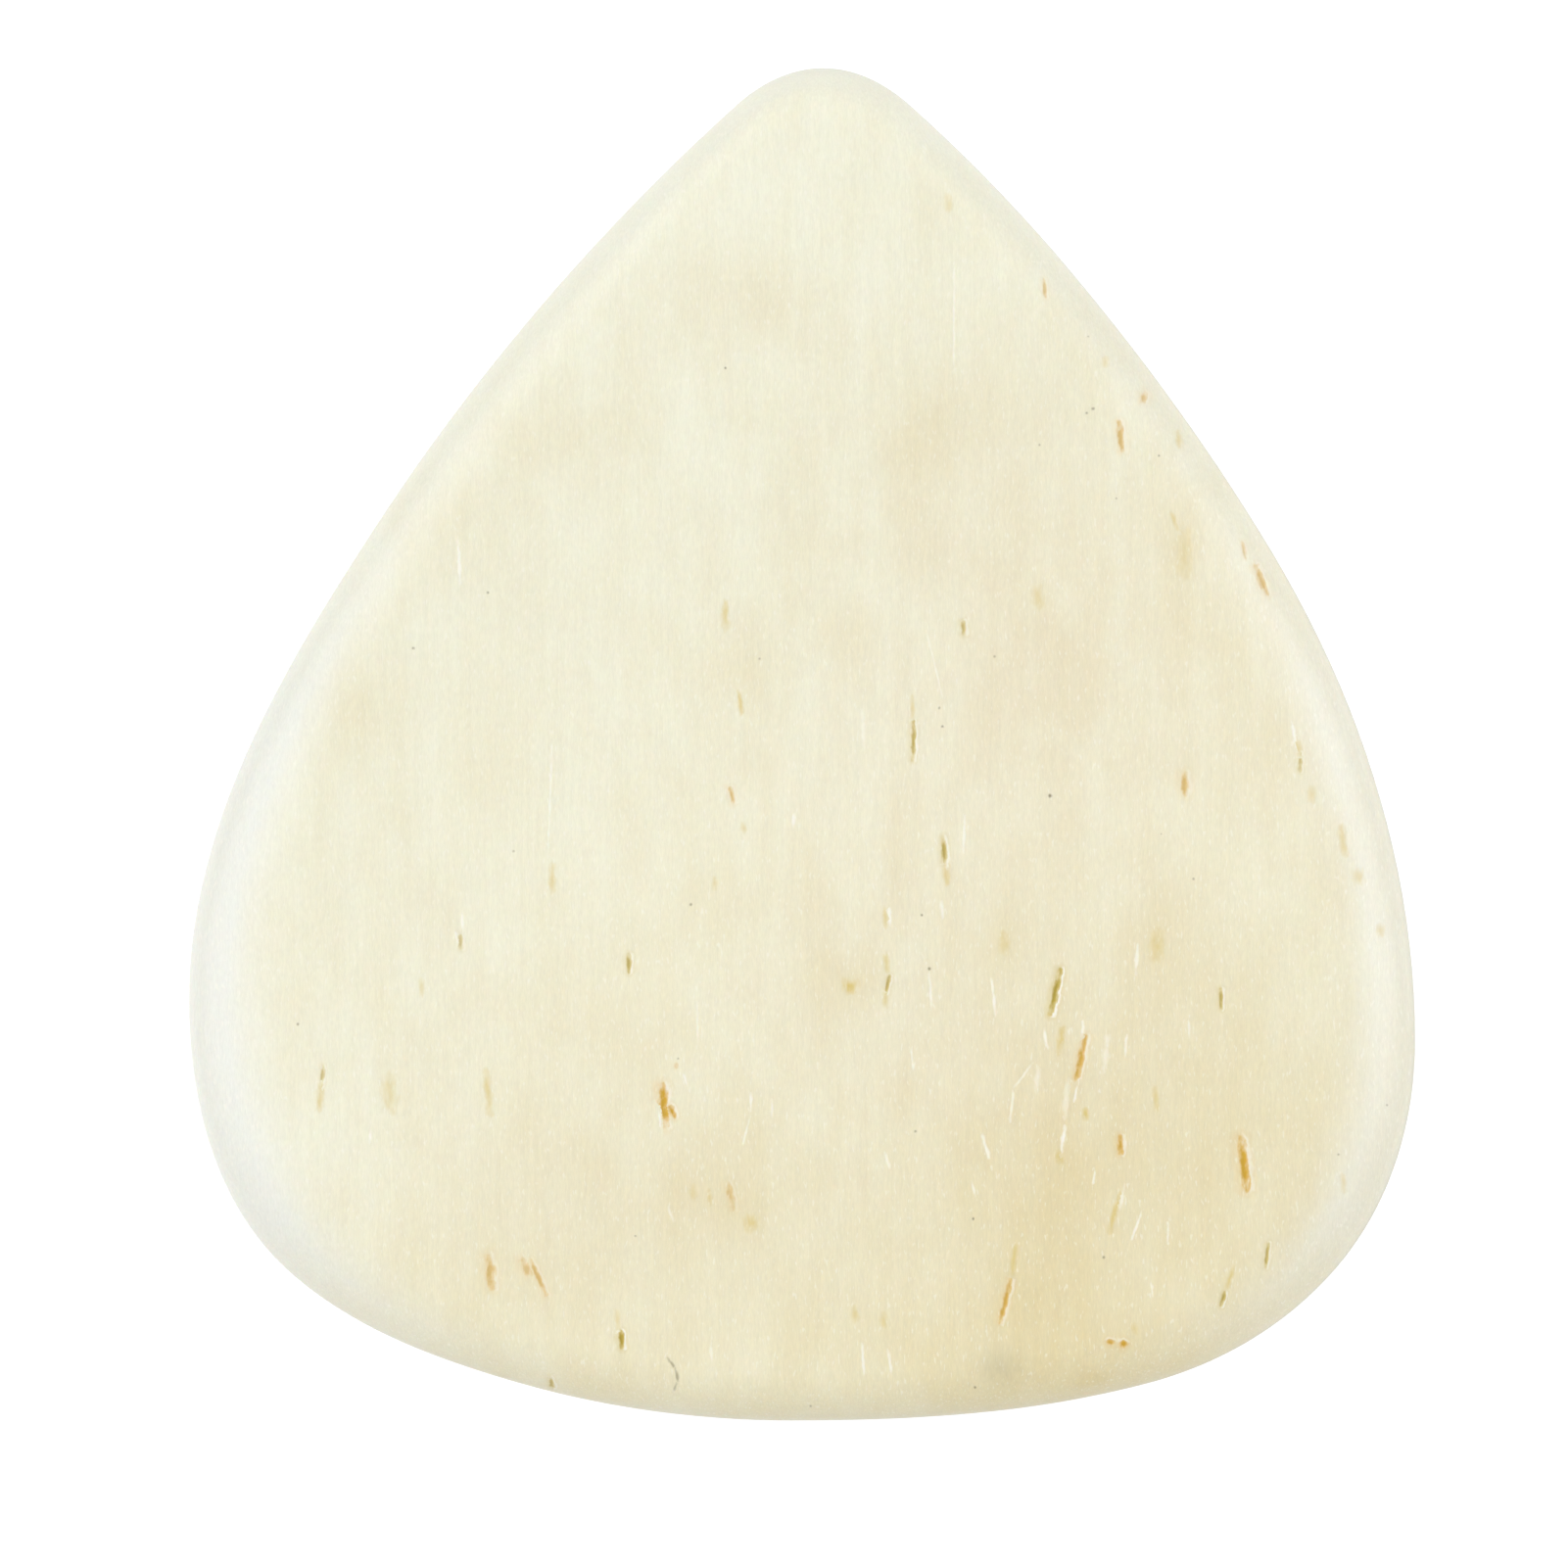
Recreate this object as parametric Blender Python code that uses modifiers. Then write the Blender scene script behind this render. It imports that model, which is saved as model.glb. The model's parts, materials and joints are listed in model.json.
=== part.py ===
"""Triangular bone folder: one slab of polished bone with a blunt point, two round
lower corners, a bowed base and an edge that is rounded over towards both faces.

Metres, +Z up. The slab lies on its back face, with its point towards +Y and the
origin under the middle of its box.
"""

from math import cos, pi, radians, sin

import bmesh
import bpy
from mathutils import Vector

MM = 0.001

# Driving dimensions
WIDTH = 57.6 * MM            # across the two lower corners, along X
LENGTH = 63.5 * MM           # from the base to the point, along Y
THICKNESS = 4.0 * MM         # from face to face, along Z
SIDE_ROUNDING = 4.9 * MM     # how far the round-over reaches in from a side
END_ROUNDING = 2.2 * MM      # how far it reaches in from the point and from the base

# Smoothness of the outline and of the rounded edge
SEGMENTS_PER_KNOT = 11
ROUNDING_STEPS = 7
WELD_DISTANCE = 0.01 * MM

HALF_WIDTH = WIDTH / 2
HALF_LENGTH = LENGTH / 2
HALF_THICKNESS = THICKNESS / 2

# The outline's knots, clockwise from the point: where each is, and the way that the outline
# runs there, in degrees. The stretch between two knots is close to an arc of a circle.
OUTLINE_KNOTS = (
    ((1.0 * MM, HALF_LENGTH), 0),              # blunt point
    ((5.1 * MM, 30.0 * MM), -42),              # right shoulder of the point
    ((21.5 * MM, 10.0 * MM), -58),             # right flank
    ((HALF_WIDTH, -14.0 * MM), -90),           # right side
    ((24.7 * MM, -25.0 * MM), -133),           # right lower corner
    ((16.2 * MM, -30.0 * MM), -165),           # right end of the base
    ((-0.5 * MM, -HALF_LENGTH), -180),         # bowed base
    ((-13.2 * MM, -30.0 * MM), -196),          # left end of the base
    ((-23.8 * MM, -25.0 * MM), -220),          # left lower corner
    ((-HALF_WIDTH, -12.0 * MM), -270),         # left side
    ((-20.2 * MM, 10.0 * MM), -303),           # left flank
    ((-3.1 * MM, 30.0 * MM), -318),            # left shoulder of the point
)


def clear_scene():
    """Take away whatever the scene starts with."""
    for item in list(bpy.data.objects):
        bpy.data.objects.remove(item, do_unlink=True)


def new_collection(name):
    """A collection of that name, linked to the scene."""
    collection = bpy.data.collections.new(name)
    bpy.context.scene.collection.children.link(collection)
    return collection


def polished_bone():
    """Cleaned and polished cattle bone: warm ivory with a soft gloss."""
    material = bpy.data.materials.new("polished_bone")
    material.use_nodes = True
    shader = material.node_tree.nodes["Principled BSDF"]
    shader.inputs["Base Color"].default_value = (0.847, 0.799, 0.584, 1.0)
    shader.inputs["Roughness"].default_value = 0.38
    shader.inputs["Metallic"].default_value = 0.0
    return material


def arc_handle(start, end, turn):
    """The handle length that makes a stretch of curve an arc which turns by that angle."""
    return (end - start).length / (3 * cos(turn / 4) ** 2)


def outline_wire():
    """The slab's outline as a mesh of edges, read from one closed smooth curve."""
    curve = bpy.data.curves.new("blade_outline", "CURVE")
    curve.dimensions = "2D"
    curve.fill_mode = "NONE"
    curve.resolution_u = SEGMENTS_PER_KNOT
    spline = curve.splines.new("BEZIER")
    spline.bezier_points.add(len(OUTLINE_KNOTS) - 1)
    spline.use_cyclic_u = True
    places = [Vector((*place, 0.0)) for place, _ in OUTLINE_KNOTS]
    headings = [radians(heading) for _, heading in OUTLINE_KNOTS]
    for number, point in enumerate(spline.bezier_points):
        after = (number + 1) % len(places)
        turn = (headings[number] - headings[after]) % (2 * pi)
        reach = arc_handle(places[number], places[after], turn)
        along = Vector((cos(headings[number]), sin(headings[number]), 0.0))
        along_after = Vector((cos(headings[after]), sin(headings[after]), 0.0))
        point.co = places[number]
        point.handle_right = places[number] + along * reach
        spline.bezier_points[after].handle_left = places[after] - along_after * reach
    guide = bpy.data.objects.new("blade_outline", curve)
    bpy.context.scene.collection.objects.link(guide)
    depsgraph = bpy.context.evaluated_depsgraph_get()
    wire = bpy.data.meshes.new_from_object(guide.evaluated_get(depsgraph))
    bpy.data.objects.remove(guide, do_unlink=True)
    return wire


def raise_rounded_half(mesh):
    """Turn the outline at half thickness into the upper half of the slab.

    The outline is extruded step by step along a quarter of an ellipse, drawing in
    further at the sides than at the ends, and the last ring is closed by the flat face.
    """
    form = bmesh.new()
    form.from_mesh(mesh)
    rim = [(vert, vert.co.copy()) for vert in form.verts]
    ring = list(form.edges)
    for step in range(1, ROUNDING_STEPS + 1):
        angle = step / ROUNDING_STEPS * pi / 2
        drawn_in = 1 - cos(angle)
        scale_x = 1 - drawn_in * SIDE_ROUNDING / HALF_WIDTH
        scale_y = 1 - drawn_in * END_ROUNDING / HALF_LENGTH
        height = HALF_THICKNESS * sin(angle)
        grown = bmesh.ops.extrude_edge_only(form, edges=ring)["geom"]
        ring = [item for item in grown if isinstance(item, bmesh.types.BMEdge)]
        raised = [item for item in grown if isinstance(item, bmesh.types.BMVert)]
        for vert, (_, start) in zip(raised, rim):
            vert.co = Vector((start.x * scale_x, start.y * scale_y, height))
    bmesh.ops.contextual_create(form, geom=ring)
    bmesh.ops.recalc_face_normals(form, faces=form.faces)
    form.to_mesh(mesh)
    form.free()


def bone_blade(collection):
    """The whole tool: a slab sawn from one shin bone, shaped, sanded and polished."""
    mesh = outline_wire()
    mesh.name = "bone_blade"
    raise_rounded_half(mesh)
    mesh.shade_smooth()
    mesh.materials.clear()
    mesh.materials.append(polished_bone())
    blade = bpy.data.objects.new("bone_blade", mesh)
    collection.objects.link(blade)
    blade.location.z = HALF_THICKNESS
    mirror = blade.modifiers.new("back_half", "MIRROR")
    mirror.use_axis = (False, False, True)
    mirror.merge_threshold = WELD_DISTANCE
    return blade


clear_scene()
bone_blade(new_collection("bone_folder"))
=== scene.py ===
"""A triangular bone folder lying on a white table, seen from straight above."""

import json
import random
from math import cos, pi, radians, sin

import bmesh
import bpy
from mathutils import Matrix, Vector, noise
from mathutils.kdtree import KDTree

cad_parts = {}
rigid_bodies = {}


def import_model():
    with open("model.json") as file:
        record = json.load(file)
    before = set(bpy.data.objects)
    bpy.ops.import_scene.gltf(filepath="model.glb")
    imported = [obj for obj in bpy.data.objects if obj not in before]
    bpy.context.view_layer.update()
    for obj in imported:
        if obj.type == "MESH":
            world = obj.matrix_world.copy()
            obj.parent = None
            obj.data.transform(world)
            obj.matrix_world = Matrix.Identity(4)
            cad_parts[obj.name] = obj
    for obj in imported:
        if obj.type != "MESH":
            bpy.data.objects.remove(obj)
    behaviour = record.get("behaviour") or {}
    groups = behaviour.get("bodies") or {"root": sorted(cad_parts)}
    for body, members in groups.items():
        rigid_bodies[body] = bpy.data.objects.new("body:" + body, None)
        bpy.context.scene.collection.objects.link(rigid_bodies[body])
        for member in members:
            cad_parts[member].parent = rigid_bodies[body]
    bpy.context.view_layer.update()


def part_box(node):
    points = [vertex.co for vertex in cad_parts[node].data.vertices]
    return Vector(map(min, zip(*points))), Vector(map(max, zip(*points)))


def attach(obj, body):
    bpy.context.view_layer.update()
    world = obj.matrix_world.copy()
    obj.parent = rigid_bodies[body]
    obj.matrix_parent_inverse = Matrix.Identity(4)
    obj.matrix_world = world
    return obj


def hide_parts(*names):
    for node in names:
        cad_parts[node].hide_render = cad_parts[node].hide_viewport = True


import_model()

# ---------------------------------------------------------------------------------------
# Bone blade: the shape
# The whole tool is one slab sawn from the flat wall of a cattle shin bone. It is cut to a
# rounded triangle with the grain running to the point, filed round at the edges and sanded.
# ---------------------------------------------------------------------------------------
MM = 0.001
blade_low, blade_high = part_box("bone_blade")
HALF_WIDTH, HALF_LENGTH, HALF_THICKNESS = (blade_high - blade_low) / 2
MID_HEIGHT = (blade_low.z + blade_high.z) / 2

SIDE_ROUNDING = 4.9 * MM     # how far the filed edge reaches in from a side
END_ROUNDING = 2.2 * MM      # how far it reaches in from the point and from the base
ROUNDING_STEPS = 14
SEGMENTS_PER_KNOT = 22
WELD_DISTANCE = 0.001 * MM
SEAM_DISTANCE = 0.005 * MM   # between the halves, where they are welded into one slab

# Clockwise from the point: where each knot is, and the outline's heading there in degrees.
OUTLINE_KNOTS = (
    ((1.0 * MM, HALF_LENGTH), 0),              # blunt point
    ((5.1 * MM, 30.0 * MM), -42),              # right shoulder of the point
    ((21.5 * MM, 10.0 * MM), -58),             # right flank
    ((HALF_WIDTH, -14.0 * MM), -90),           # right side
    ((24.7 * MM, -25.0 * MM), -133),           # right lower corner
    ((16.2 * MM, -30.0 * MM), -165),           # right end of the base
    ((-0.5 * MM, -HALF_LENGTH), -180),         # bowed base
    ((-13.2 * MM, -30.0 * MM), -196),          # left end of the base
    ((-23.8 * MM, -25.0 * MM), -220),          # left lower corner
    ((-HALF_WIDTH, -12.0 * MM), -270),         # left side
    ((-20.2 * MM, 10.0 * MM), -303),           # left flank
    ((-3.1 * MM, 30.0 * MM), -318),            # left shoulder of the point
)

bpy.ops.object.select_all(action="DESELECT")
bpy.ops.curve.primitive_bezier_circle_add(radius=HALF_LENGTH)
blade = bpy.context.object
blade.name = "polished_bone_blade"
blade.data.resolution_u = SEGMENTS_PER_KNOT
bpy.ops.object.mode_set(mode="EDIT")
bpy.ops.curve.select_all(action="SELECT")
bpy.ops.curve.subdivide(number_cuts=2)
bpy.ops.curve.handle_type_set(type="FREE_ALIGN")
bpy.ops.object.mode_set(mode="OBJECT")
bezier = blade.data.splines[0].bezier_points
places = [Vector((*place, 0.0)) for place, _ in OUTLINE_KNOTS]
headings = [radians(heading) for _, heading in OUTLINE_KNOTS]
for point, place in zip(bezier, places):
    point.handle_left_type = point.handle_right_type = "FREE"
    point.co = place
for number, point in enumerate(bezier):     # each stretch is close to an arc of a circle
    after = (number + 1) % len(places)
    turn = (headings[number] - headings[after]) % (2 * pi)
    reach = (places[after] - places[number]).length / (3 * cos(turn / 4) ** 2)
    along = Vector((cos(headings[number]), sin(headings[number]), 0.0))
    along_after = Vector((cos(headings[after]), sin(headings[after]), 0.0))
    point.handle_right = places[number] + along * reach
    bezier[after].handle_left = places[after] - along_after * reach
bpy.ops.object.convert(target="MESH")

# The filed edge: the outline is extruded up a quarter of an ellipse, ring by ring, and the
# last ring is filled with a grid of quads, the flat face. The back half is its mirror image.
bpy.ops.object.mode_set(mode="EDIT")
bpy.ops.mesh.select_all(action="SELECT")
bpy.ops.mesh.remove_doubles(threshold=WELD_DISTANCE)
drawn_in, height = 0.0, 0.0
for step in range(1, ROUNDING_STEPS + 1):
    angle = step / ROUNDING_STEPS * pi / 2
    next_in, next_height = 1 - cos(angle), HALF_THICKNESS * sin(angle)
    narrower = (HALF_WIDTH - next_in * SIDE_ROUNDING) / (HALF_WIDTH - drawn_in * SIDE_ROUNDING)
    shorter = (HALF_LENGTH - next_in * END_ROUNDING) / (HALF_LENGTH - drawn_in * END_ROUNDING)
    bpy.ops.mesh.extrude_edges_move()
    bpy.ops.transform.resize(value=(narrower, shorter, 1), center_override=(0, 0, height))
    bpy.ops.transform.translate(value=(0, 0, next_height - height))
    drawn_in, height = next_in, next_height
quarter = len(OUTLINE_KNOTS) * SEGMENTS_PER_KNOT // 4
bpy.ops.mesh.fill_grid(span=quarter, offset=quarter // 2)
bpy.ops.mesh.select_less()
bpy.ops.mesh.vertices_smooth(factor=0.5, repeat=40)     # so that its corners aren't pinched
bpy.ops.mesh.select_all(action="SELECT")
bpy.ops.mesh.normals_make_consistent(inside=False)
bpy.ops.object.mode_set(mode="OBJECT")
mirror = blade.modifiers.new("back_half", "MIRROR")
mirror.use_axis = (False, False, True)
mirror.merge_threshold = SEAM_DISTANCE
bpy.ops.object.modifier_apply(modifier=mirror.name)
blade.location.z = MID_HEIGHT
bpy.ops.object.transform_apply(location=True, rotation=True, scale=True)

# ---------------------------------------------------------------------------------------
# Bone blade: canals, stains and scratches
# Blood vessels ran through the living bone along its grain. Where sanding cuts one open it
# leaves a short groove with brown in it, and one just under the surface shows as a yellow
# streak. Each stroke is its upper end, its lower end, its width and its strength, in mm.
# ---------------------------------------------------------------------------------------
OPEN_CANALS = (
    (12.1, -10.5, 11.6, -12.7, 0.27, 1.0), (-8.1, -9.8, -8.1, -10.7, 0.22, 0.75),
    (-16.0, -8.9, -15.95, -9.6, 0.22, 0.45), (6.6, -4.3, 6.7, -5.7, 0.22, 0.8),
    (5.2, 1.1, 5.2, -0.8, 0.22, 0.75), (4.1, -10.8, 3.9, -11.7, 0.18, 0.7),
    (19.6, -11.4, 19.6, -12.4, 0.2, 0.75), (21.8, -23.3, 21.7, -24.5, 0.18, 0.7),
    (-11.8, -29.7, -11.7, -30.2, 0.25, 0.6), (7.5, 5.8, 7.6, 5.1, 0.22, 0.6),
    (19.8, -25.6, 19.6, -26.3, 0.18, 0.8), (23.3, -0.4, 23.3, -1.3, 0.2, 0.55),
    (-8.5, -27.4, -8.4, -28.3, 0.24, 1.0), (-22.4, -15.0, -22.5, -16.0, 0.18, 0.5),
)
FILLED_CANALS = (
    (20.5, -18.4, 20.8, -20.9, 0.42, 1.0), (13.3, -13.6, 12.8, -15.7, 0.28, 0.9),
    (-6.55, -15.9, -6.4, -17.9, 0.44, 1.0), (-6.2, -16.9, -5.95, -17.5, 0.26, 1.0),
    (-5.9, -14.9, -5.9, -15.2, 0.16, 0.3), (14.9, -18.3, 14.9, -19.2, 0.26, 0.9),
    (9.8, -24.9, 9.25, -27.1, 0.24, 0.85), (14.25, -27.95, 14.6, -28.0, 0.24, 0.85),
    (14.85, -28.05, 15.2, -28.05, 0.3, 1.0), (-14.7, -23.9, -14.5, -25.5, 0.4, 0.6),
    (-13.1, -24.1, -12.7, -24.9, 0.45, 0.5), (-12.7, -24.1, -11.95, -25.8, 0.22, 0.6),
    (14.8, 15.1, 15.0, 13.7, 0.3, 0.65), (21.25, 8.4, 21.8, 7.0, 0.3, 0.6),
    (20.6, 9.5, 20.8, 8.7, 0.18, 0.4), (16.0, 16.5, 16.0, 16.0, 0.3, 0.5),
    (17.9, -1.3, 17.9, -2.4, 0.34, 0.65), (-3.4, -2.0, -3.2, -2.8, 0.22, 0.6),
    (-3.5, -20.5, -3.2, -21.8, 0.28, 0.45), (11.3, 21.8, 11.4, 20.9, 0.18, 0.5),
)
BURIED_CANALS = (
    (-22.5, -15.8, -22.6, -17.2, 0.32, 0.6), (-19.3, -15.5, -19.3, -17.2, 0.55, 0.45),
    (-14.8, -15.2, -14.6, -17.4, 0.28, 0.6), (-17.8, -10.9, -17.8, -11.9, 0.2, 0.4),
    (-11.7, -5.5, -11.7, -7.0, 0.28, 0.55), (-4.1, -6.2, -4.1, -6.9, 0.22, 0.4),
    (-3.6, 6.8, -3.6, 5.3, 0.3, 0.6), (-3.0, 2.5, -2.8, 1.3, 0.2, 0.7),
    (-2.75, -3.6, -2.7, -4.2, 0.2, 0.5), (5.2, 2.3, 5.15, 1.2, 0.18, 0.5),
    (6.7, -5.6, 6.8, -6.6, 0.28, 0.6), (3.9, -7.6, 3.9, -8.6, 0.22, 0.6),
    (3.9, -9.7, 4.0, -10.7, 0.22, 0.7), (3.9, -11.6, 3.9, -12.4, 0.22, 0.6),
    (9.4, -8.8, 9.5, -9.8, 0.4, 0.5), (12.2, -13.2, 12.0, -14.5, 0.28, 0.7),
    (16.5, -16.0, 16.6, -17.2, 0.22, 0.5), (16.6, -8.7, 16.6, -10.1, 0.55, 0.5),
    (13.2, -17.0, 13.3, -17.6, 0.24, 0.8), (12.0, -19.0, 12.1, -19.6, 0.28, 0.7),
    (14.9, -20.9, 14.35, -22.9, 0.24, 0.7), (10.0, -23.4, 9.8, -24.9, 0.22, 0.6),
    (20.2, -24.4, 19.8, -25.6, 0.2, 0.6), (17.6, 14.7, 17.7, 13.9, 0.26, 0.5),
    (14.2, 18.1, 14.2, 17.7, 0.28, 0.5), (17.25, 10.9, 17.55, 10.0, 0.18, 0.5),
    (17.8, 10.2, 17.9, 7.8, 0.6, 0.35), (23.1, 0.3, 23.3, -0.6, 0.28, 0.6),
    (23.8, -2.0, 23.9, -2.7, 0.32, 0.4), (25.2, -3.7, 25.4, -5.3, 0.28, 0.5),
    (26.0, -5.9, 26.1, -6.5, 0.5, 0.4), (27.1, -8.4, 27.1, -9.0, 0.28, 0.5),
    (-5.1, -20.6, -5.1, -21.3, 0.28, 0.4), (-4.35, -20.8, -4.3, -21.6, 0.22, 0.5),
    (-2.5, -22.1, -2.3, -22.7, 0.55, 0.6), (2.4, -26.3, 2.5, -27.0, 0.28, 0.5),
    (3.8, -26.6, 3.8, -27.3, 0.28, 0.5), (-8.7, -26.4, -8.6, -27.4, 0.2, 0.4),
    (25.3, -20.1, 25.4, -21.0, 0.24, 0.4), (11.0, 7.4, 11.1, 6.4, 0.45, 0.4),
    (2.0, -11.2, 2.5, -11.4, 0.55, 0.9), (6.8, 25.7, 6.9, 24.9, 0.3, 0.4),
    (15.5, -27.1, 15.6, -27.6, 0.24, 0.5),
)
SCRATCHES = (
    (7.1, 22.8, 7.1, 17.0, 0.10, 0.6), (-16.1, 9.9, -16.0, 7.2, 0.15, 0.8),
    (-11.7, 0.1, -11.9, -5.4, 0.11, 0.6), (-15.95, -7.8, -15.85, -8.8, 0.14, 0.9),
    (-4.9, -11.9, -4.9, -14.1, 0.12, 0.5), (-5.6, -15.3, -5.3, -16.2, 0.1, 0.7),
    (-2.4, -16.2, -2.4, -17.3, 0.13, 0.8), (-2.4, -17.3, -2.8, -18.8, 0.11, 0.6),
    (-0.4, -3.1, -0.4, -4.0, 0.16, 0.7), (-1.4, -16.5, -1.4, -17.5, 0.12, 0.5),
    (2.8, 1.8, 2.9, -0.4, 0.18, 0.4), (7.6, -3.2, 7.55, -5.2, 0.14, 0.7),
    (5.8, 5.4, 6.6, 2.1, 0.10, 0.5), (5.95, -10.6, 6.05, -12.4, 0.13, 0.7),
    (8.85, -10.9, 9.05, -12.8, 0.14, 0.8), (6.5, -7.2, 6.6, -8.2, 0.16, 0.6),
    (15.7, -9.2, 15.6, -10.9, 0.15, 0.7), (11.3, -13.2, 11.5, -14.4, 0.17, 0.8),
    (14.3, -13.5, 14.1, -15.5, 0.28, 0.45), (15.2, -13.5, 15.1, -14.9, 0.13, 0.6),
    (12.4, -15.6, 12.3, -17.6, 0.30, 0.4), (12.3, -17.8, 12.1, -19.2, 0.22, 0.9),
    (11.0, -15.0, 11.0, -16.4, 0.26, 0.4), (15.1, -20.5, 14.85, -21.9, 0.16, 0.6),
    (15.9, -21.8, 15.4, -23.2, 0.13, 0.8), (17.1, -22.3, 17.1, -23.4, 0.13, 0.7),
    (10.85, -14.8, 9.9, -16.1, 0.14, 0.6), (9.9, -16.1, 9.7, -17.8, 0.13, 0.6),
    (8.4, -18.2, 8.8, -19.5, 0.18, 0.8), (3.85, -19.0, 4.1, -19.9, 0.15, 0.6),
    (4.05, -7.6, 4.1, -8.5, 0.17, 0.9), (13.15, -12.8, 13.1, -13.7, 0.14, 0.7),
    (-6.3, -21.6, -6.0, -22.4, 0.14, 0.5), (-20.2, -18.0, -20.2, -18.8, 0.15, 0.9),
    (22.95, 1.0, 23.15, -0.3, 0.15, 0.9), (2.8, -28.0, 2.9, -29.6, 0.14, 0.7),
    (-6.72, -17.1, -6.62, -17.9, 0.12, 0.9), (-16.25, -8.6, -16.15, -9.3, 0.11, 0.7),
    (4.0, -28.2, 4.2, -29.5, 0.14, 0.7), (-4.3, -28.0, -4.2, -29.0, 0.14, 0.5),
    (12.9, -15.9, 12.7, -16.8, 0.12, 0.8), (13.7, -19.9, 13.6, -20.6, 0.12, 0.7),
    (7.9, -20.3, 8.1, -21.2, 0.12, 0.7), (18.1, -12.9, 18.1, -13.8, 0.11, 0.6),
    (16.3, -25.0, 16.4, -25.9, 0.11, 0.6), (5.1, -14.2, 5.2, -15.3, 0.12, 0.6),
)
# A hair-thin curved crack near the base has dust in it.
CRACKS = (
    (-6.35, -28.65, -5.9, -29.25, 0.12, 0.6), (-5.95, -29.15, -5.8, -29.85, 0.12, 0.6),
    (-5.8, -29.75, -6.05, -30.35, 0.12, 0.5),
)
# Pores are canals cut straight across, with dust in them: middle, width and strength.
PORES = (
    (-5.2, -7.5, 0.11, 0.6), (6.56, 0.83, 0.12, 0.8), (6.42, 1.7, 0.1, 0.5),
    (5.6, -8.0, 0.12, 0.8), (5.95, -10.5, 0.13, 0.8), (-5.8, -14.7, 0.11, 0.6),
    (13.6, 15.7, 0.13, 0.8), (13.3, 15.5, 0.1, 0.6), (16.7, 13.5, 0.12, 0.7),
    (14.7, 11.5, 0.11, 0.6), (13.4, 19.1, 0.1, 0.5), (16.8, -4.2, 0.1, 0.5),
    (18.3, -6.3, 0.1, 0.5), (8.0, -22.2, 0.13, 0.9), (8.1, -30.1, 0.12, 0.8),
    (14.1, -24.0, 0.11, 0.6), (11.1, 14.0, 0.1, 0.5), (11.6, -2.4, 0.15, 0.9),
    (-14.7, 7.1, 0.11, 0.7), (9.0, 4.1, 0.1, 0.5), (-2.0, 4.0, 0.1, 0.5),
    (-3.6, 17.6, 0.11, 0.8), (-23.6, -13.1, 0.12, 0.6), (-18.2, 4.5, 0.12, 0.7),
    (27.4, -16.9, 0.1, 0.5), (25.1, -19.2, 0.11, 0.6), (5.3, -18.1, 0.12, 0.7),
    (0.4, -31.0, 0.11, 0.6), (-7.8, -23.0, 0.1, 0.6), (-13.5, -5.0, 0.1, 0.4),
)

# The back was not chosen for show: its canals are scattered with the same mix and grain,
# more of them in its lower half, and within a width that narrows towards the point.
chance = random.Random(7)
back_strokes = []
MIX = (("open", 12), ("filled", 13), ("buried", 34), ("scratch", 26), ("pore", 24))
BACK_LOWEST, BACK_RANGE = -29, 52     # mm
BACK_POINT, BACK_NARROWING = 31, 48
for kind, count in MIX:
    for _ in range(count):
        across = chance.uniform(-0.8, 0.8)
        up = chance.betavariate(1.6, 2.4) * BACK_RANGE + BACK_LOWEST
        narrowed = min(1.0, (BACK_POINT - up) / BACK_NARROWING) ** 0.8
        x_mm = across * HALF_WIDTH / MM * narrowed
        length = chance.uniform(0.7, 2.4)
        lean = chance.gauss(0.0, 0.09) * length
        width = chance.uniform(0.12, 0.2) if kind == "scratch" else chance.uniform(0.2, 0.36)
        if kind == "pore":
            length, lean, width = 0.02, 0.0, 0.11
        stroke = (x_mm + lean, up + length, x_mm, up, width, chance.uniform(0.4, 0.9))
        back_strokes.append((kind, stroke))

STAINS = {"open": "#D3BD60", "filled": "#E2B548", "buried": "#DEC878", "scratch": "#FFFDF0",
          "pore": "#8C8468"}
DEPTHS = {"open": 0.08, "filled": 0.05}     # mm; the others lie in the surface
WEIGHTS = {
    "crisp": {"open": 1.0, "filled": 0.8, "scratch": 1.0, "pore": 0.5},     # how sharp its edge is
    "carved": {"open": 1.0, "filled": 0.6},     # how much dust with painted shadow, halo and painted highlight it has
    "scored": {"scratch": 1.0},
}


def linear(hex_colour):
    """An sRGB hex colour as linear red, green and blue."""
    parts = [int(hex_colour[i:i + 2], 16) / 255 for i in (1, 3, 5)]
    return [c / 12.92 if c <= 0.04045 else ((c + 0.055) / 1.055) ** 2.4 for c in parts]


def side_of(z):
    """1 for the front half of the slab, -1 for the back half."""
    return 1 if z > MID_HEIGHT else -1


strokes = [(1, "open", row) for row in OPEN_CANALS]
strokes += [(1, "filled", row) for row in FILLED_CANALS]
strokes += [(1, "buried", row) for row in BURIED_CANALS]
strokes += [(1, "scratch", row) for row in SCRATCHES]
strokes += [(1, "pore", row) for row in CRACKS]
strokes += [(1, "pore", (x, y + 0.01, x, y - 0.01, size, depth)) for x, y, size, depth in PORES]
strokes += [(-1, kind, row) for kind, row in back_strokes]

SAMPLE_STEP = 0.15     # mm between the samples of a stroke
FACE_APART = 100       # keeps the samples of the front and the back away from each other
samples = []
for number, (side, _, stroke) in enumerate(strokes):
    x0, y0, x1, y1 = stroke[:4]
    count = max(2, round(((x1 - x0) ** 2 + (y1 - y0) ** 2) ** 0.5 / SAMPLE_STEP) + 1)
    for step in range(count):
        share = step / (count - 1)
        place = Vector((x0 + (x1 - x0) * share, y0 + (y1 - y0) * share, side * FACE_APART))
        samples.append((number, place))
nearest = KDTree(len(samples))
for index, (_, place) in enumerate(samples):
    nearest.insert(place, index)
nearest.balance()


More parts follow.
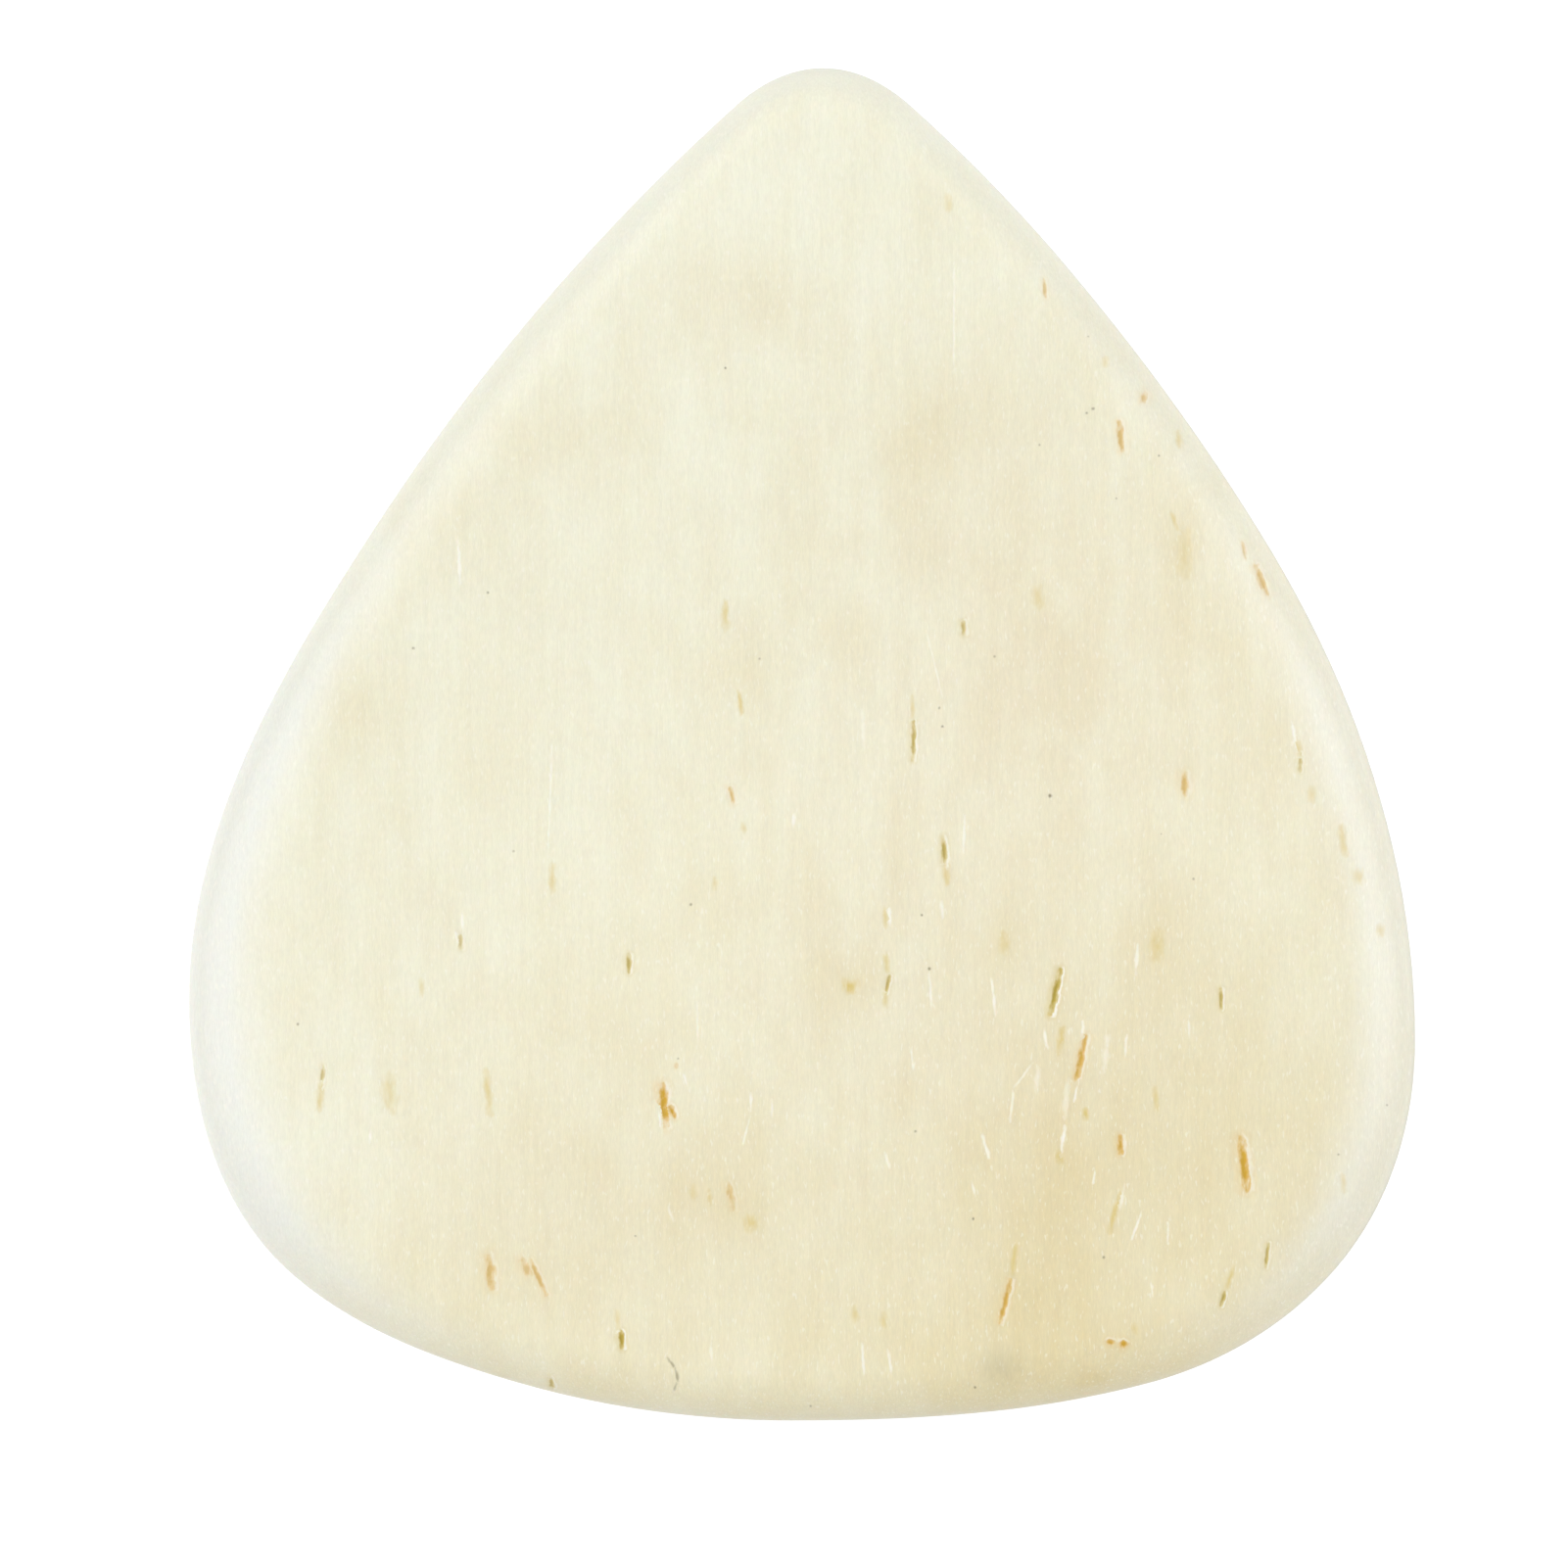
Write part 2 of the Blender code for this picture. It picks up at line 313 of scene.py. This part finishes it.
def stroke_near(point):
    """The stroke nearest to a point on the slab, and the gap to its edge in mm."""
    flat = Vector((point.x / MM, point.y / MM, side_of(point.z) * FACE_APART))
    _, index, distance = nearest.find(flat)
    number = samples[index][0]
    return number, distance - strokes[number][2][4] / 2


# The mesh is split finer round each stroke, so that a groove a quarter of a millimetre
# wide has walls and a floor: twice round them all, and twice more round the carved ones.
bpy.ops.object.mode_set(mode="EDIT")
bpy.context.tool_settings.mesh_select_mode = (False, False, True)
for reach, kinds in ((1.0, STAINS), (0.5, STAINS), (0.22, DEPTHS), (0.12, DEPTHS)):
    bpy.ops.mesh.select_all(action="DESELECT")
    form = bmesh.from_edit_mesh(blade.data)
    for face in form.faces:
        number, gap = stroke_near(face.calc_center_median())
        if gap < reach and strokes[number][1] in kinds:
            face.select = True
    bmesh.update_edit_mesh(blade.data)
    bpy.ops.mesh.subdivide(number_cuts=1, quadcorner="INNERVERT")
bpy.ops.object.mode_set(mode="OBJECT")


def place_on(stroke, point):
    """Where a point lies on a stroke: across it in half widths, and along it in half
    lengths, which go on in half widths past its ends."""
    x0, y0, x1, y1, width, _ = stroke
    run = Vector((x0 - x1, y0 - y1))
    offset = Vector((point.x / MM - (x0 + x1) / 2, point.y / MM - (y0 + y1) / 2))
    half_length, half_width = run.length / 2, width / 2
    along, across = offset.dot(run.normalized()), offset.cross(run.normalized())
    past_end = abs(along) - half_length
    if half_length < half_width:
        share = abs(along) / half_width
    else:
        share = abs(along) / half_length if past_end < 0 else 1 + past_end / half_width
    return across / half_width, share if along > 0 else -share


# Each face near a stroke carries that stroke's own coordinates and stain, as if it were
# drawn on, and each vertex in a canal is weighted by how deep the groove is there.
COLOURED = 0.8          # mm from a stroke's edge to the last face that it can tint
UNMARKED = (9.0, 9.0)   # a place far out from every stroke
GROOVE_REACH = 1.25     # half widths from a groove's middle to where it runs out
RAGGEDNESS = 0.35
MAX_DEPTH = max(DEPTHS.values())
mesh = blade.data
mesh.uv_layers.new(name="strokes")
mesh.color_attributes.new(name="stain", type="FLOAT_COLOR", domain="CORNER")
for name in WEIGHTS:
    mesh.attributes.new(name, "FLOAT", "FACE")
groove = blade.vertex_groups.new(name="groove")
drawn, stain = mesh.uv_layers["strokes"], mesh.color_attributes["stain"]
for face in mesh.polygons:
    number, gap = stroke_near(face.center)
    _, kind, stroke = strokes[number]
    for name, weights in WEIGHTS.items():
        mesh.attributes[name].data[face.index].value = weights.get(kind, 0.0)
    for corner in face.loop_indices:
        vertex = mesh.vertices[mesh.loops[corner].vertex_index]
        drawn.data[corner].uv = UNMARKED
        if gap > COLOURED:
            continue
        across, share = place_on(stroke, vertex.co)
        drawn.data[corner].uv = (across, share)
        stain.data[corner].color = (*linear(STAINS[kind]), stroke[5])
        ragged = RAGGEDNESS * noise.noise(vertex.co / (0.3 * MM))
        inside = 1 - (Vector((across, share)).length / GROOVE_REACH + ragged) ** 2
        if kind in DEPTHS and inside > 0:
            depth = DEPTHS[kind] * stroke[5] * inside
            groove.add([vertex.index], depth / MAX_DEPTH, "REPLACE")

# Hand sanding leaves the faces a few hundredths of a millimetre out of true, in waves
# about a finger wide and in finer ones from the file; then the grooves are sunk in.
for name, wave_size, wave_depth in (("sanding_waves", 11.0, 0.06), ("file_waves", 3.0, 0.008)):
    texture = bpy.data.textures.new(name, "CLOUDS")
    texture.noise_scale = wave_size * MM
    texture.noise_depth = 1
    waves = blade.modifiers.new(name, "DISPLACE")
    waves.texture = texture
    waves.texture_coords = "LOCAL"
    waves.mid_level = 1.0
    waves.strength = wave_depth * MM
    bpy.ops.object.modifier_apply(modifier=waves.name)
sink = blade.modifiers.new("canal_grooves", "DISPLACE")
sink.vertex_group = "groove"
sink.mid_level = 0.0
sink.strength = -MAX_DEPTH * MM
bpy.ops.object.modifier_apply(modifier=sink.name)
bpy.ops.object.shade_smooth()

# Marrow fat has soaked into the more open bone and turned it tan, most of all towards the
# right lower corner, and old blood has left it a little rosy right of the middle. Each
# patch is its middle, its two radii and its depth of colour.
TAN_PATCHES = (
    (10.6, -23.0, 3.0, 5.0, 0.20), (12.2, -22.3, 1.0, 2.5, 0.05), (15.0, -22.0, 9.0, 9.0, 0.10),
    (5.8, 14.6, 1.4, 2.8, 0.18), (-1.2, 20.8, 1.6, 1.6, 0.12), (-5.4, 20.0, 1.2, 1.6, 0.12),
    (17.8, 9.8, 1.2, 2.6, 0.10), (11.0, 6.9, 1.0, 1.4, 0.10), (-20.9, 1.6, 1.4, 2.6, 0.14),
    (16.5, -9.4, 1.0, 1.6, 0.06), (9.5, -9.1, 1.0, 1.4, 0.10), (-2.4, 3.4, 1.4, 1.8, 0.12),
    (2.0, -11.3, 1.6, 1.4, 0.14), (11.0, -26.5, 2.5, 1.6, 0.06), (-3.2, -21.6, 3.0, 2.0, 0.12),
    (-14.0, -24.5, 4.0, 2.5, 0.05), (-10.0, 15.0, 3.0, 2.0, 0.08), (-15.6, 9.8, 3.0, 2.5, 0.06),
    (25.5, -6.0, 1.4, 3.0, 0.04), (-8.0, -22.0, 7.0, 5.0, 0.08), (18.5, -18.0, 3.0, 3.5, 0.12),
    (4.0, -28.0, 3.0, 1.6, 0.12), (11.0, -12.5, 3.0, 3.0, 0.08), (-25.0, -20.0, 3.5, 5.0, -0.15),
    (0.8, 28.0, 6.0, 3.5, -0.02), (22.5, -3.5, 1.6, 3.5, -0.10),
    (12.0, -29.6, 5.0, 1.6, 0.10), (13.65, -29.7, 0.5, 0.4, 0.10),
)
ROSY_PATCHES = (
    (10.0, 4.0, 8.0, 8.0, 0.5), (6.0, 14.0, 3.0, 4.0, 0.1), (-2.5, 20.5, 5.0, 2.5, 0.15),
    (4.0, -10.0, 6.0, 5.0, 0.2), (17.0, -9.0, 4.0, 4.0, 0.1), (9.0, -16.0, 6.0, 4.0, 0.2),
    (-9.0, -20.0, 8.0, 4.0, 0.15), (-13.0, 11.0, 4.0, 6.0, 0.1), (25.0, 2.0, 3.0, 6.0, 0.25),
)
# A smudge and the lowest strip of the face are a little grey.
GREY_PATCHES = ((9.3, -29.1, 0.9, 0.7, 0.65), (3.0, -30.3, 9.0, 1.0, 0.08))


def painted_at(x_mm, y_mm, patches):
    """How deep a set of patches lies at a place."""
    total = 0.0
    for x, y, wide, tall, depth in patches:
        total += depth * 2.0 ** -(((x_mm - x) / wide) ** 2 + ((y_mm - y) / tall) ** 2)
    return total


# Filing has taken off the stained surface all round the edge, least along the base and the
# flanks of the point; the pale filed band is also painted paler towards the left, a painted
# sheen where the left softbox is reflected. The very edge is painted greyer as painted shade,
# more so on the right, and so are the point and the base. The denser bone towards the point
# is greyer.
LAYERS = ("tan", "rosy", "filed_pale_and_sheen", "grey_and_shade")
for name in LAYERS:
    mesh.attributes.new(name, "FLOAT", "POINT")
layers = {name: mesh.attributes[name].data for name in LAYERS}
for vertex in mesh.vertices:
    x_mm, y_mm = vertex.co.x / MM, vertex.co.y / MM
    spread = 0.18 + 0.0035 * x_mm - 0.0045 * y_mm     # tanner towards the lower right
    filed = 1 - abs(vertex.co.z - MID_HEIGHT) / HALF_THICKNESS
    off_base = min(1.0, max(0.0, (y_mm + 29.5) / 7))     # 0 at the base, 1 from the corners up
    up_flank = min(1.0, max(0.0, (y_mm - 1) / 9))        # 0 at the sides, 1 on the flanks
    # painted sheen: the filed band is made paler towards the left, where the left softbox's
    # reflection falls on the rim
    filing_and_sheen = off_base * (0.70 - 0.006 * x_mm) * (1 - 0.55 * up_flank)
    # painted shade: the very edge is made greyer, more so towards the right
    very_edge_shade = min(1.0, max(0.0, (filed - 0.75) / 0.15)) * (0.65 + 0.02 * x_mm)
    dense = 0.14 * min(1.0, max(0.0, (y_mm + 4 - 0.4 * x_mm) / 16))
    layers["tan"][vertex.index].value = spread + painted_at(x_mm, y_mm, TAN_PATCHES)
    layers["rosy"][vertex.index].value = painted_at(x_mm, y_mm, ROSY_PATCHES)
    layers["filed_pale_and_sheen"][vertex.index].value = min(1.0, 4.5 * filed) * filing_and_sheen
    # painted shade at the point and the base, where the edge faces along the blade
    grey_and_shade = very_edge_shade + 0.4 * vertex.normal.y ** 4 + dense + painted_at(x_mm, y_mm, GREY_PATCHES)
    layers["grey_and_shade"][vertex.index].value = min(1.0, grey_and_shade)

# ---------------------------------------------------------------------------------------
# Bone blade: polished bone
# Cattle shin bone, boiled clean, bleached and buffed: warm ivory, slightly see-through, with
# a soft waxy gloss. Its fibres run up the blade, and every tint follows them.
# ---------------------------------------------------------------------------------------
bone = bpy.data.materials.new("polished_bone")
bone.use_nodes = True
tree = bone.node_tree
shader = tree.nodes["Principled BSDF"]


def add_node(kind, settings, inputs):
    """A new node with its settings, and its inputs set or linked."""
    node = tree.nodes.new(kind)
    for name, value in settings.items():
        setattr(node, name, value)
    for name, value in inputs.items():
        if isinstance(value, bpy.types.NodeSocket):
            tree.links.new(value, node.inputs[name])
        else:
            node.inputs[name].default_value = value
    return node


where = add_node("ShaderNodeTexCoord", {}, {})
in_mm = add_node("ShaderNodeVectorMath", {"operation": "SCALE"},
                 {0: where.outputs["Object"], "Scale": 1 / MM})

# Patterns in the bone, each with its width across the grain and its length along it in mm.
PATTERNS = (
    ("grain", 0.07, 0.35, 2.0),         # the finest mottle
    ("fibre", 0.13, 2.2, 2.0),          # single fibres
    ("streak", 0.8, 7.0, 2.0),          # bundles of fibres, paler or yellower
    ("cloud", 2.6, 4.2, 3.0),           # where fat has soaked in
    ("nick", 0.11, 0.4, 1.0),           # pale ends of torn fibres
    ("ragged", 0.2, 0.45, 2.0),         # the uneven edges of canals
)
value = {}
for name, wide, tall, detail in PATTERNS:
    stretched = add_node("ShaderNodeMapping", {},
                         {"Vector": in_mm.outputs[0], "Scale": (1 / wide, 1 / tall, 1 / wide)})
    texture = add_node("ShaderNodeTexNoise", {},
                       {"Vector": stretched.outputs[0], "Scale": 1.0, "Detail": detail})
    value[name] = texture.outputs["Fac"]
for name in (*LAYERS, *WEIGHTS):
    value[name] = add_node("ShaderNodeAttribute", {"attribute_name": name}, {}).outputs["Fac"]

# Where a point lies on its stroke: across it, and outwards from its middle to a ragged edge.
stroke_stain = add_node("ShaderNodeAttribute", {"attribute_name": "stain"}, {})
drawn_at = add_node("ShaderNodeUVMap", {"uv_map": "strokes"}, {})
split = add_node("ShaderNodeSeparateXYZ", {}, {0: drawn_at.outputs["UV"]})
outwards = add_node("ShaderNodeVectorMath", {"operation": "LENGTH"}, {0: drawn_at.outputs["UV"]})
uneven = add_node("ShaderNodeMapRange", {}, {
    "Value": value["ragged"], "From Min": 0.3, "From Max": 0.7, "To Min": -0.45, "To Max": 0.45})
radius = add_node("ShaderNodeMath", {"operation": "ADD"},
                  {0: outwards.outputs["Value"], 1: uneven.outputs[0]})
value["strength"] = stroke_stain.outputs["Alpha"]
value["across"] = split.outputs["X"]
value["radius"] = radius.outputs[0]

# What follows what: a name, what it follows, and the two ranges, held at their ends.
RANGES = (
    ("cloudy", "cloud", 0.3, 0.7, -0.06, 0.07),
    ("streaky", "streak", 0.3, 0.7, -0.035, 0.035),
    ("flushed", "cloud", 0.35, 0.65, 0.5, 1.0),
    ("fibre_shade", "fibre", 0.3, 0.7, 0.98, 1.015),
    ("grain_shade", "grain", 0.3, 0.7, 0.965, 1.03),
    ("torn", "nick", 0.62, 0.72, 0.0, 0.4),
    ("fades_out", "radius", 1.7, 0.1, 0.0, 1.0),
    ("fills", "radius", 1.3, 0.35, 0.0, 1.0),
    ("halo", "radius", 3.2, 0.9, 0.0, 0.4),
    # painted highlight: a pale ring on the right wall of a carved stroke, which faces the left
    # softbox
    ("highlight_starts", "radius", 0.9, 1.3, 0.0, 1.0),
    ("highlight_ends", "radius", 2.2, 1.5, 0.0, 1.0),
    ("highlight_side", "across", 0.1, 1.0, 0.0, 0.9),
    # a dark core of dust, leaning to the left wall of the groove as painted shadow
    ("dark_core", "radius", 1.0, 0.25, 0.0, 0.5),
    ("shadow_side", "across", 0.6, -0.3, 0.3, 1.0),
    ("furrow", "radius", 1.5, 0.2, 0.0, 1.0),
    ("gloss", "fibre", 0.3, 0.7, 0.31, 0.40),
)
for name, source, low, high, new_low, new_high in RANGES:
    value[name] = add_node("ShaderNodeMapRange", {}, {
        "Value": value[source], "From Min": low, "From Max": high,
        "To Min": new_low, "To Max": new_high}).outputs[0]
value["filling"] = add_node("ShaderNodeMix", {"data_type": "FLOAT"}, {
    0: value["crisp"], 2: value["fades_out"], 3: value["fills"]}).outputs[0]

# Sums and products of those. The bone's own tan is the painted layer, broken up by clouds
# and streaks. A carved stroke has a halo where fat has crept out of it, a painted highlight
# on its right wall, which faces the left softbox, and a dark core of dust that leans to its
# left wall as painted shadow.
COMBINED = (
    ("cloudy_tan", "ADD", "tan", "cloudy"),
    ("whole_tan", "ADD", "cloudy_tan", "streaky"),
    ("flush", "MULTIPLY", "rosy", "flushed"),
    ("shade", "MULTIPLY", "fibre_shade", "grain_shade"),
    ("cut", "MULTIPLY", "carved", "strength"),
    ("cut_halo", "MULTIPLY", "halo", "cut"),
    # the painted highlight of a carved stroke
    ("highlight_ring", "MULTIPLY", "highlight_starts", "highlight_ends"),
    ("sided_highlight", "MULTIPLY", "highlight_ring", "highlight_side"),
    ("cut_highlight", "MULTIPLY", "sided_highlight", "cut"),
    ("tint", "MULTIPLY", "filling", "strength"),
    # the dust and painted shadow of a carved stroke
    ("sided_dust_and_shadow", "MULTIPLY", "dark_core", "shadow_side"),
    ("dust_and_shadow", "MULTIPLY", "sided_dust_and_shadow", "cut"),
    ("score", "MULTIPLY", "scored", "strength"),
    ("score_depth", "MULTIPLY", "score", "furrow"),
)
for name, operation, first, second in COMBINED:
    value[name] = add_node("ShaderNodeMath", {"operation": operation},
                           {0: value[first], 1: value[second]}).outputs[0]

# The colours, laid one over another on ivory from the bone itself up to the dust and painted
# shadow. Each has the value that says how much of it there is.
value["all"] = 1.0
OVERLAYS = (
    ("whole_tan", "MIX", "#DDC680"),        # fat: honey
    ("flush", "MULTIPLY", "#F6ECE4"),       # old blood: rose
    ("filed_pale_and_sheen", "MIX", "#F0F2EB"),             # filed bone, and painted sheen on the left rim
    ("all", "MULTIPLY", value["shade"]),    # fibres and grain
    ("torn", "MIX", STAINS["scratch"]),     # torn fibres: chalk
    ("grey_and_shade", "MULTIPLY", "#E4E5E4"),        # denser bone towards the point, and painted shade at the very edge and the ends: grey
    ("cut_halo", "MIX", stroke_stain.outputs["Color"]),
    # painted highlight on the right wall of a carved stroke
    ("cut_highlight", "MIX", STAINS["scratch"]),
    ("tint", "MIX", stroke_stain.outputs["Color"]),
    ("dust_and_shadow", "MIX", "#8A742C"),             # dust and painted shadow: olive brown
)
colour = (*linear("#F7F6E1"), 1.0)
for amount, blend, over in OVERLAYS:
    colour = add_node("ShaderNodeMix", {"data_type": "RGBA", "blend_type": blend}, {
        0: value[amount], 6: colour,
        7: (*linear(over), 1.0) if isinstance(over, str) else over}).outputs[2]

# Buffed to a satin gloss that the open canals don't share, over fibres that stand a little
# proud and scratches that lie a little deep.
dull = add_node("ShaderNodeMath", {"operation": "MULTIPLY_ADD"},
                {0: value["tint"], 1: 0.35, 2: value["gloss"]})
shine = add_node("ShaderNodeMapRange", {}, {
    "Value": value["tint"], "To Min": 0.5, "To Max": 0.1})
fibres = add_node("ShaderNodeBump", {},
                  {"Height": value["fibre"], "Strength": 0.4, "Distance": 0.012 * MM})
relief = add_node("ShaderNodeBump", {"invert": True}, {
    "Height": value["score_depth"], "Distance": 0.025 * MM, "Normal": fibres.outputs[0]})
tree.links.new(colour, shader.inputs["Base Color"])
tree.links.new(dull.outputs[0], shader.inputs["Roughness"])
tree.links.new(relief.outputs["Normal"], shader.inputs["Normal"])
tree.links.new(shine.outputs[0], shader.inputs["Specular IOR Level"])
shader.inputs["IOR"].default_value = 1.54
shader.inputs["Subsurface Weight"].default_value = 0.3
shader.inputs["Subsurface Radius"].default_value = (1.3, 0.9, 0.5)
shader.inputs["Subsurface Scale"].default_value = MM

mesh.materials.clear()
mesh.materials.append(bone)
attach(blade, "root")
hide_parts("bone_blade")

# ---------------------------------------------------------------------------------------
# Table
# A sheet of matt white acrylic lit from below, which leaves hardly any shadow. It is big
# enough to fill the view from any side.
# ---------------------------------------------------------------------------------------
TABLE_SIZE = 6.0
TABLE_GAP = 0.03 * MM
bpy.ops.mesh.primitive_plane_add(size=TABLE_SIZE, location=(0, 0, -TABLE_GAP))
table = bpy.context.object
table.name = "white_table"
acrylic = bpy.data.materials.new("matt_white_acrylic")
acrylic.use_nodes = True
sheet = acrylic.node_tree.nodes["Principled BSDF"]
sheet.inputs["Base Color"].default_value = (*linear("#8A8A8A"), 1.0)
sheet.inputs["Roughness"].default_value = 0.8
sheet.inputs["Emission Color"].default_value = (1.0, 1.0, 1.0, 1.0)
sheet.inputs["Emission Strength"].default_value = 0.86
table.data.materials.append(acrylic)

# ---------------------------------------------------------------------------------------
# Lights
# Two wide softboxes hang at the left and the right, the left one larger and stronger, and
# a third hangs high beyond the point. White walls fill in the rest.
# ---------------------------------------------------------------------------------------
SOFTBOXES = (
    ("left_softbox", (-0.50, 0.10, 0.55), 0.6, 2.3),
    ("right_softbox", (0.50, 0.06, 0.48), 0.4, 1.5),
    ("ceiling_softbox", (0.05, 0.22, 0.90), 0.7, 1.1),
)
for name, place, size, power in SOFTBOXES:
    lamp = bpy.data.lights.new(name, "AREA")
    lamp.shape = "SQUARE"
    lamp.size = size
    lamp.energy = power
    softbox = bpy.data.objects.new(name, lamp)
    softbox.location = place
    softbox.rotation_euler = (-Vector(place)).to_track_quat("-Z", "Y").to_euler()
    softbox.visible_camera = False
    bpy.context.scene.collection.objects.link(softbox)

world = bpy.data.worlds.new("white_walls")
world.use_nodes = True
walls = world.node_tree.nodes["Background"]
walls.inputs["Color"].default_value = (1.0, 1.0, 1.0, 1.0)
walls.inputs["Strength"].default_value = 0.445
bpy.context.scene.world = world
bpy.context.scene.view_settings.view_transform = "Standard"
bpy.context.scene.view_settings.look = "None"

# ---------------------------------------------------------------------------------------
# Camera
# Straight above the table with a long lens; the blade sits a little up and to the right.
# ---------------------------------------------------------------------------------------
CAMERA_HEIGHT = 0.70
VIEW_WIDTH = 73.56 * MM
VIEW_MIDDLE = (-0.85 * MM, -1.86 * MM)
lens = bpy.data.cameras.new("camera")
lens.sensor_width = 36.0
lens.lens = lens.sensor_width * (CAMERA_HEIGHT - MID_HEIGHT) / VIEW_WIDTH
camera = bpy.data.objects.new("camera", lens)
camera.location = (*VIEW_MIDDLE, CAMERA_HEIGHT)
bpy.context.scene.collection.objects.link(camera)
bpy.context.scene.camera = camera
